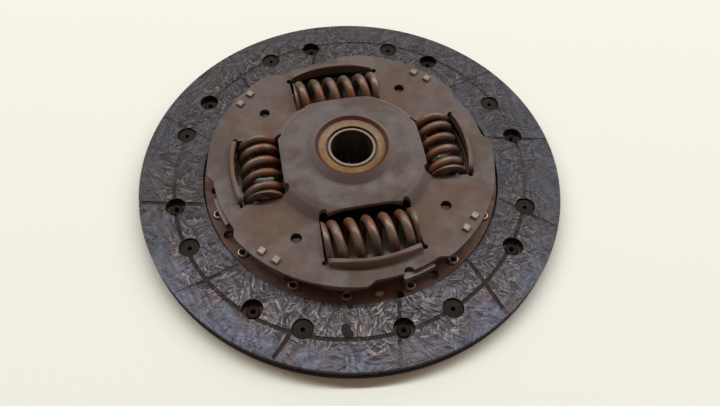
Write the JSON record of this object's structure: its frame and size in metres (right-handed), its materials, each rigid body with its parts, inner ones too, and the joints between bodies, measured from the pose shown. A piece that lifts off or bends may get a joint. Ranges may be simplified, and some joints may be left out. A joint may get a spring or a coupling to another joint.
{
  "type": "clutch disc",
  "caption": "Round clutch disc with riveted friction facings on wavy segments, a domed cover plate with lipped spring windows, helical damper springs and a splined hub.",
  "frame": {"origin": "on the hub axis, in the rear face of the rear facing, on which the disc lies", "axes": "+Z along the hub axis towards the cover plate and the long end of the hub; +X and +Y across the disc"},
  "size_m": [0.215, 0.215, 0.0294],
  "materials": {
    "facing": "moulded fibre friction material, worn glossy, pale strands",
    "facing_rivet": "dark brown tarnish",
    "cushion_steel": "brown stained sheet steel",
    "segment_rivet": "bright zinc plated",
    "spring_steel": "bronze brown with orange rust",
    "spacer": "bare steel, rust specks",
    "cover_steel": "heat tinted grey brown steel",
    "drive_steel": "rusty brown steel",
    "hub": "machined steel, dark in the bore",
    "flange_steel": "bare stamped steel",
    "bush": "tan plastic",
    "washer_steel": "spring steel",
    "friction_washer": "dark friction material"
  },
  "bodies": {
    "disc": {"front_facing": "facing", "rear_facing": "facing", "front_facing_rivets": "facing_rivet", "rear_facing_rivets": "facing_rivet", "cushion_segment_1": "cushion_steel", "cushion_segment_2": "cushion_steel", "cushion_segment_3": "cushion_steel", "cushion_segment_4": "cushion_steel", "cushion_segment_5": "cushion_steel", "cushion_segment_6": "cushion_steel", "cushion_segment_7": "cushion_steel", "cushion_segment_8": "cushion_steel", "segment_rivets": "segment_rivet", "balance_rivet": "segment_rivet", "spacer_1": "spacer", "spacer_2": "spacer", "spacer_3": "spacer", "spacer_4": "spacer", "cover_plate": "cover_steel", "drive_plate": "drive_steel", "front_bush": "bush", "rear_bush": "bush", "front_thrust_washer": "washer_steel", "rear_thrust_washer": "washer_steel", "front_cone_washer": "washer_steel", "rear_cone_washer": "washer_steel", "front_friction_washer": "friction_washer", "rear_friction_washer": "friction_washer"},
    "hub_assembly": {"hub": "hub", "hub_flange": "flange_steel"},
    "spring_pack": {"spring_1": "spring_steel", "spring_2": "spring_steel", "spring_3": "spring_steel", "spring_4": "spring_steel"}
  },
  "joints": [
    {"name": "hub_turn", "type": "hinge", "parent": "disc", "child": "hub_assembly", "pos_m": [0, 0, 0.0139], "axis": [0, 0, 1], "range_deg": [-11.5, 11.5], "stiffness_Nm_per_rad": 15, "deforming": ["spring_1", "spring_2", "spring_3", "spring_4"]},
    {"name": "spring_follow", "type": "hinge", "parent": "disc", "child": "spring_pack", "pos_m": [0, 0, 0.0139], "axis": [0, 0, 1], "range_deg": [-6, 6], "deforming": ["spring_1", "spring_2", "spring_3", "spring_4"]}
  ],
  "couplings": [
    {"joint": "spring_follow", "follows": "hub_turn", "ratio": 0.5}
  ]
}
